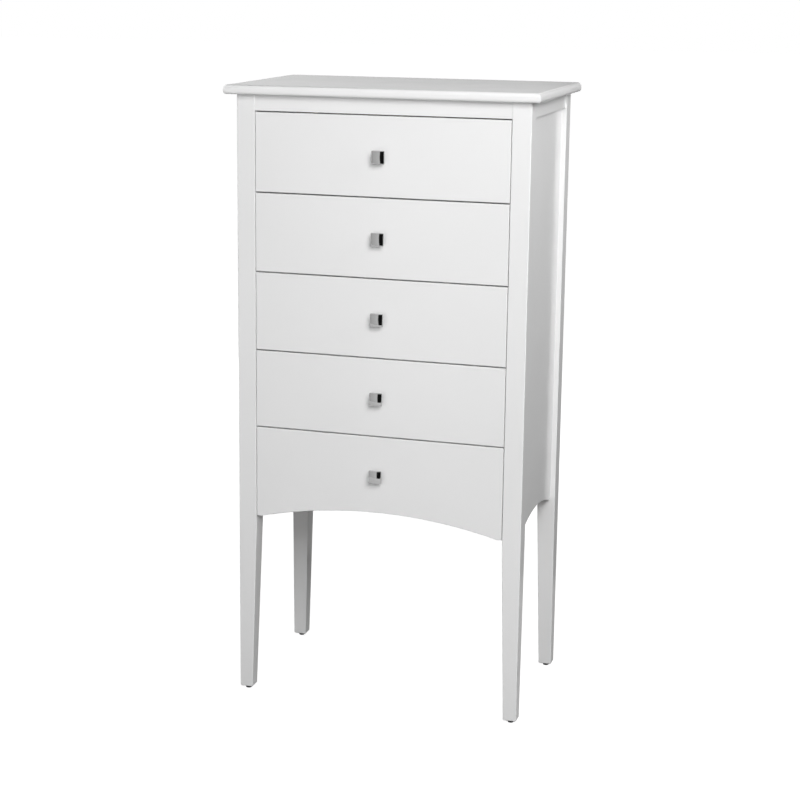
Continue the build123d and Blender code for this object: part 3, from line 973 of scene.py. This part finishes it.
@dataclass
class Knobs:
    """The drawers' knobs: a round foot and a flaring neck under a square cushion head.

    Attributes:
        head_height: Height of the head, in metres.
        dome: Radius of the head's face, in metres.
        cells: How many cells across the face follow its dome.
        edge_round: Radius of the head's edges and corners, in metres.
        edge_steps: How many facets round them.
        root: How far the stem goes into the head, as a share of the head's height.
        ledge: How far the head stands out past the flare, in metres.
        flare: Height over which the neck widens, in metres.
        flare_steps: How many rings shape the flare.
        neck: Diameter of the neck, in metres.
        foot: Diameter of the foot, in metres.
        foot_height: Height of the foot, in metres.
        bore: Diameter of the hole for the screw, in metres.
        bore_depth: Depth of that hole, in metres.
        sides: Flat sides that stand for the round.
    """

    head_height: float = 6.0 * MM
    dome: float = 55.0 * MM
    cells: int = 10
    edge_round: float = 1.3 * MM
    edge_steps: int = 4
    root: float = 0.5
    ledge: float = 1.5 * MM
    flare: float = 8.0 * MM
    flare_steps: int = 8
    neck: float = 9.0 * MM
    foot: float = 12.0 * MM
    foot_height: float = 2.0 * MM
    bore: float = 4.3 * MM
    bore_depth: float = 9.0 * MM
    sides: int = 48

    def build(self, material: Material) -> None:
        """Models one knob and copies it to each drawer."""
        low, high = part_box("drawer_1_knob")
        width = high.x - low.x
        model = self.head(width)
        model.unite(self.stem(width / 2 - self.ledge, high.y - low.y))
        model.close()
        for number in range(1, DRAWERS + 1):
            body = f"drawer_{number}"
            node = f"{body}_knob"
            place = place_facing(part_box(node), -BACKWARDS)
            piece = model.copy_to([place], f"{node}_detailed")
            hand_over(piece, material, body, node)
        model.discard()

    def head(self, width: float) -> Model:
        """Shapes the square head, with the middle of its domed face at the origin.

        Args:
            width: Width and breadth of the head, in metres.

        Returns:
            The finished head.
        """
        head = Model.from_block("knob", width)
        bpy.ops.mesh.select_all(action="SELECT")
        bpy.ops.transform.resize(value=(1.0, 1.0, self.head_height / width))
        bpy.ops.transform.translate(value=(0.0, 0.0, -self.head_height / 2))
        head.pick_top()
        bpy.ops.mesh.subdivide(number_cuts=self.cells - 1)
        cage = bmesh.from_edit_mesh(head.piece.data)
        for point in cage.verts:
            if point.select:
                point.co.z -= point.co.xy.length_squared / (2 * self.dome)
        cage.normal_update()
        bmesh.update_edit_mesh(head.piece.data)
        head.pick_edges(lambda edge: edge.calc_face_angle() > CORNER_ANGLE)
        head.round_edges(self.edge_round, self.edge_steps)
        head.close()
        return head

    def stem(self, reach: float, height: float) -> Model:
        """Shapes the foot, neck and flare under the head, with the hole for the screw.

        Args:
            reach: Radius of the flare where it meets the head, in metres.
            height: Height of the whole knob, in metres.

        Returns:
            The model, in edit mode.
        """
        stem = Model.from_rod("knob_stem", self.foot / 2, self.foot_height, self.sides)
        stem.pick_top()
        stem.inset((self.foot - self.neck) / 2)
        stem.draw_out(height - self.head_height - self.flare - self.foot_height)
        radius = self.neck / 2
        for step in range(1, self.flare_steps + 1):
            share = step / self.flare_steps
            wider = self.neck / 2 + (reach - self.neck / 2) * share**2
            stem.draw_out(self.flare / self.flare_steps)
            stem.widen(wider / radius)
            radius = wider
        stem.draw_out(self.root * self.head_height)
        stem.pick_bottom()
        stem.inset((self.foot - self.bore) / 2)
        stem.draw_out(self.bore_depth)
        bpy.ops.mesh.select_all(action="SELECT")
        bpy.ops.transform.translate(value=(0.0, 0.0, self.foot_height - height))
        return stem


# Sub-assemblies


@dataclass
class Carcass:
    """The standing frame: posts, rails, panels, top, runners, screws and glides.

    Attributes:
        palette: The materials.
    """

    palette: Palette

    def build(self) -> None:
        """Dresses the boards and builds the small pieces."""
        self.dress_boards()
        self.build_screws()
        TopBoard().build(self.palette.paint[Grain.ALONG_X])
        Glides().build(self.palette.plastic)

    def dress_boards(self) -> None:
        """Paints the boards that show and leaves the rest bare."""
        paint = self.palette.paint
        for node in ("front_top_rail", "front_bottom_rail", "back_top_rail", "back_bottom_rail"):
            dress(node, paint[Grain.ALONG_X])
        for side in ("left", "right"):
            dress(f"{side}_top_rail", paint[Grain.ALONG_Y])
            dress(f"{side}_side_panel", paint[Grain.ALONG_Z])
            dress(f"front_{side}_post", paint[Grain.ALONG_Z])
            dress(f"back_{side}_post", paint[Grain.ALONG_Z])
        dress("back_panel", self.palette.board)
        for number in range(1, DRAWERS + 1):
            dress(f"drawer_{number}_runners", self.palette.wood[Grain.ALONG_Y])

    def build_screws(self) -> None:
        """Builds the screws of the top, the runners and the back panel."""
        zinc = self.palette.zinc
        pan = ScrewHead.PAN
        sunk = ScrewHead.COUNTERSUNK
        top = ScrewSet("top_screws", "carcass", pan, shank=4.0 * MM, head_height=3.0 * MM)
        top.build(zinc, lambda middle: DOWN)
        runner = ScrewSet("runner_screws", "carcass", sunk, shank=3.5 * MM, head_height=1.75 * MM)
        runner.build(zinc, lambda middle: RIGHT if middle.x < 0 else -RIGHT)
        back = ScrewSet("back_panel_screws", "carcass", sunk, shank=3.0 * MM, head_height=1.5 * MM)
        back.build(zinc, lambda middle: BACKWARDS)


@dataclass
class Drawer:
    """One drawer: painted front, bare box and the knob's screw.

    Attributes:
        number: The drawer's place, counted from the top.
        palette: The materials.
    """

    number: int
    palette: Palette

    def build(self) -> None:
        """Dresses the boards and builds the knob's screw."""
        body = f"drawer_{self.number}"
        dress(f"{body}_front", self.palette.paint[Grain.ALONG_X])
        dress(f"{body}_left_side", self.palette.wood[Grain.ALONG_Y])
        dress(f"{body}_right_side", self.palette.wood[Grain.ALONG_Y])
        dress(f"{body}_back", self.palette.wood[Grain.ALONG_X])
        dress(f"{body}_bottom", self.palette.board)
        pan = ScrewHead.PAN
        screw = ScrewSet(f"{body}_knob_screw", body, pan, shank=4.0 * MM, head_height=2.5 * MM)
        screw.build(self.palette.zinc, lambda middle: BACKWARDS)


# Studio


@dataclass(frozen=True)
class Lamp:
    """A soft square lamp that faces the chest.

    Attributes:
        name: The lamp's name.
        place: Where it stands, in metres.
        power: Its power, in watts.
        side: Its width and height, in metres.
    """

    name: str
    place: tuple[float, float, float]
    power: float
    side: float

    def build(self, target: Vector) -> None:
        """Adds the lamp, turned to the target and kept out of reflections."""
        light = bpy.data.lights.new(self.name, "AREA")
        light.size = self.side
        light.energy = self.power
        holder = bpy.data.objects.new(self.name, light)
        holder.location = self.place
        holder.rotation_euler = (target - holder.location).to_track_quat("-Z", "Y").to_euler()
        holder.visible_glossy = False
        bpy.context.scene.collection.objects.link(holder)


@dataclass(frozen=True)
class Card:
    """An upright glowing card beside the chest that only reflections show: a painted reflection, dark or
    pale, in the chrome and the paint; it lights nothing and casts no shadow.

    Attributes:
        name: The card's name.
        left: Where its left edge is, in metres.
        right: Where its right edge is.
        front: How far in front of the chest's middle it stands, or behind where negative.
        height: Its height.
        left_value: How bright its left part is, from 0 to 1.
        right_value: How bright its right part is.
        fade: Where the brightness starts and ends to change, in metres.
    """

    name: str
    left: float
    right: float
    front: float
    height: float
    left_value: float
    right_value: float
    fade: tuple[float, float] = (0.0, 1.0)

    def build(self) -> None:
        """Stands the card on the floor."""
        middle = ((self.left + self.right) / 2, -self.front, self.height / 2)
        bpy.ops.object.select_all(action="DESELECT")
        bpy.ops.mesh.primitive_plane_add(size=1.0, rotation=(math.radians(90.0), 0.0, 0.0), location=middle)
        card = bpy.context.object
        card.name = self.name
        card.scale = (self.right - self.left, self.height, 1.0)
        bpy.ops.object.transform_apply(location=True, rotation=True, scale=True)
        card.data.materials.append(self.material())
        for ray in ("camera", "diffuse", "transmission", "volume_scatter", "shadow"):
            setattr(card, f"visible_{ray}", False)

    def material(self) -> Material:
        """Builds a glow that fades from the left part to the right one."""
        material, sheet, place = new_material(self.name)
        parts = sheet.add("ShaderNodeSeparateXYZ", Vector=place)
        strength = sheet.spread(parts.outputs["X"], self.left_value, self.right_value, *self.fade)
        glow = sheet.add("ShaderNodeEmission", Strength=strength)
        sheet.show(glow.outputs[0])
        return material


@dataclass
class Studio:
    """The floor, the lamps, the cards, the world and the camera.

    Attributes:
        floor_side: Width of the floor, in metres.
        floor_near: How bright the floor looks by itself beside the chest.
        floor_far: How bright it looks by itself far away.
        near_reach: Radius of the floor beside the chest, in metres.
        far_reach: Radius from which the floor counts as far away, in metres.
        front_dimming: How much dimmer the floor in front of the chest is in reflections, as painted shade.
        back_dimming: The same for the floor behind it, painted shade that stands for the chest's shadow on
            the floor.
        dimming_fade: Where the one gives way to the other, in metres from the middle.
        floor_paper: How much lamp light the floor shows.
        floor_bounce: How much light the floor throws back onto the chest.
        world_ambient: How much the world lights the chest.
        target: What the lamps face.
        lamps: The lamps.
        cards: The cards, which paint reflections.
        camera_place: Where the camera stands, in metres.
        camera_yaw: How far it is turned to the left.
        camera_pitch: How far it looks down.
        camera_roll: How far it is tilted.
        focal_pixels: Its focal length, in pixels.
        axis_pixel: The pixel that its axis goes through.
    """

    floor_side: float = 60.0
    floor_near: float = 0.9
    floor_far: float = 1.0
    near_reach: float = 0.8
    far_reach: float = 2.0
    front_dimming: float = 0.45
    back_dimming: float = 0.9
    dimming_fade: tuple[float, float] = (-0.4, 0.0)
    floor_paper: Colour = grey(0.3)
    floor_bounce: Colour = grey(0.15)
    world_ambient: float = 0.06
    target: Vector = field(default_factory=lambda: Vector((0.0, 0.0, 0.75)))
    lamps: tuple[Lamp, ...] = (
        Lamp("key_lamp", (1.2, -2.31, 2.1), 58.6, 1.3),
        Lamp("front_lamp", (-0.2, -2.6, 0.8), 18.9, 1.8),
        Lamp("right_lamp", (1.59, -0.14, 1.7), 17.0, 1.0),
        Lamp("back_lamp", (-2.4, 2.4, 2.2), 20.0, 1.0),
        Lamp("back_low_lamp", (-2.0, 2.4, 0.7), 40.0, 1.0),
    )
    # painted reflections: a dark sheet and a grey one in front of the chest, a pale-to-dark pair behind it
    cards: tuple[Card, ...] = (
        Card("dark_card", -0.2, 2.5, 1.6, 2.2, 0.01, 0.01),
        Card("grey_card", -6.0, -0.2, 1.6, 2.2, 0.5, 0.78, (-1.6, -0.2)),
        Card("back_left_card", -5.0, 0.1, -0.7, 3.5, 0.94, 0.55, (-0.7, 0.1)),
        Card("back_right_card", 0.1, 5.0, -0.7, 3.5, 0.55, 0.0, (0.1, 0.4)),
    )
    camera_place: Vector = field(default_factory=lambda: Vector((1.0033, -3.3708, 1.4126)))
    camera_yaw: float = math.radians(17.7845)
    camera_pitch: float = math.radians(12.0698)
    camera_roll: float = math.radians(0.4683)
    focal_pixels: float = 1829.9
    axis_pixel: tuple[float, float] = (364.8, 360.0)

    def build(self) -> None:
        """Builds everything that isn't the chest."""
        self.build_world()
        self.build_floor()
        for lamp in self.lamps:
            lamp.build(self.target)
        for card in self.cards:
            card.build()
        self.build_camera()

    @staticmethod
    def seen_directly(sheet: NodeSheet) -> Socket:
        """Adds a mask that is 1 for what the camera sees, directly or in a reflection."""
        path = sheet.add("ShaderNodeLightPath")
        mask = sheet.math("MAXIMUM", path.outputs["Is Camera Ray"], path.outputs["Is Glossy Ray"])
        return sheet.math("MAXIMUM", mask, path.outputs["Is Transmission Ray"])

    def build_world(self) -> None:
        """Makes a white surround that lights the chest only softly."""
        world = bpy.data.worlds.new("surround")
        bpy.context.scene.world = world
        world.use_nodes = True
        sheet = NodeSheet(world.node_tree)
        background = sheet.tree.nodes["Background"]
        background.inputs["Color"].default_value = grey(1.0)
        strength = sheet.spread(self.seen_directly(sheet), self.world_ambient, 1.0)
        sheet.wire(strength, background.inputs["Strength"])

    def build_floor(self) -> None:
        """Makes a white floor that keeps the chest's shadow."""
        bpy.ops.object.select_all(action="DESELECT")
        bpy.ops.mesh.primitive_plane_add(size=self.floor_side)
        floor = bpy.context.object
        floor.name = "studio_floor"
        material, sheet, place = new_material("studio_paper")
        distance = sheet.add("ShaderNodeVectorMath", operation="LENGTH", Vector=place)
        white = sheet.spread(
            distance.outputs["Value"], self.floor_near, self.floor_far, self.near_reach, self.far_reach
        )
        strength = sheet.math("MULTIPLY", white, self.kept_share(sheet, place))
        glow = sheet.add("ShaderNodeEmission", Strength=strength)
        paper = sheet.add("ShaderNodeBsdfDiffuse", Color=self.floor_paper)
        both = sheet.add("ShaderNodeAddShader")
        sheet.wire(glow.outputs[0], both.inputs[0])
        sheet.wire(paper.outputs[0], both.inputs[1])
        bounce = sheet.add("ShaderNodeBsdfDiffuse", Color=self.floor_bounce)
        mix = sheet.add("ShaderNodeMixShader")
        sheet.wire(self.seen_directly(sheet), mix.inputs[0])
        sheet.wire(bounce.outputs[0], mix.inputs[1])
        sheet.wire(both.outputs[0], mix.inputs[2])
        sheet.show(mix.outputs[0])
        floor.data.materials.append(material)

    def kept_share(self, sheet: NodeSheet, place: Socket) -> Socket:
        """Adds the share of the floor's glow that is left in a reflection; it is whole for the camera. The
        dimmed rest is painted shade that only reflections show.

        Args:
            sheet: The floor's sheet.
            place: The floor's coordinates.

        Returns:
            The share, from 0 to 1.
        """
        parts = sheet.add("ShaderNodeSeparateXYZ", Vector=place)
        dimming = sheet.spread(parts.outputs["Y"], self.front_dimming, self.back_dimming, *self.dimming_fade)
        path = sheet.add("ShaderNodeLightPath")
        # painted shade: the floor's glow is dimmed where reflections see it
        lost = sheet.math("MULTIPLY", path.outputs["Is Glossy Ray"], dimming)
        return sheet.spread(lost, 1.0, 0.0)

    def build_camera(self) -> None:
        """Stands the camera where the photograph was taken."""
        camera = bpy.data.cameras.new("camera")
        camera.sensor_width = SENSOR_MM
        camera.lens = self.focal_pixels * SENSOR_MM / IMAGE_PIXELS
        camera.shift_x = (IMAGE_PIXELS / 2 - self.axis_pixel[0]) / IMAGE_PIXELS
        camera.shift_y = (self.axis_pixel[1] - IMAGE_PIXELS / 2) / IMAGE_PIXELS
        holder = bpy.data.objects.new("camera", camera)
        turn = Euler((math.pi / 2 - self.camera_pitch, 0.0, self.camera_yaw)).to_matrix()
        turn = turn @ Matrix.Rotation(self.camera_roll, 3, "Z")
        holder.matrix_world = Matrix.LocRotScale(self.camera_place, turn.to_quaternion(), None)
        bpy.context.scene.collection.objects.link(holder)
        bpy.context.scene.camera = holder


def main() -> None:
    """Builds and dresses everything in order."""
    logging.basicConfig(level=logging.INFO, format="%(name)s: %(message)s")
    bpy.context.scene.view_settings.view_transform = "Standard"
    palette = Palette(SharedEffects())
    Carcass(palette).build()
    for number in range(1, DRAWERS + 1):
        Drawer(number, palette).build()
    Knobs().build(palette.chrome)
    Studio().build()


if __name__ == "__main__":
    main()
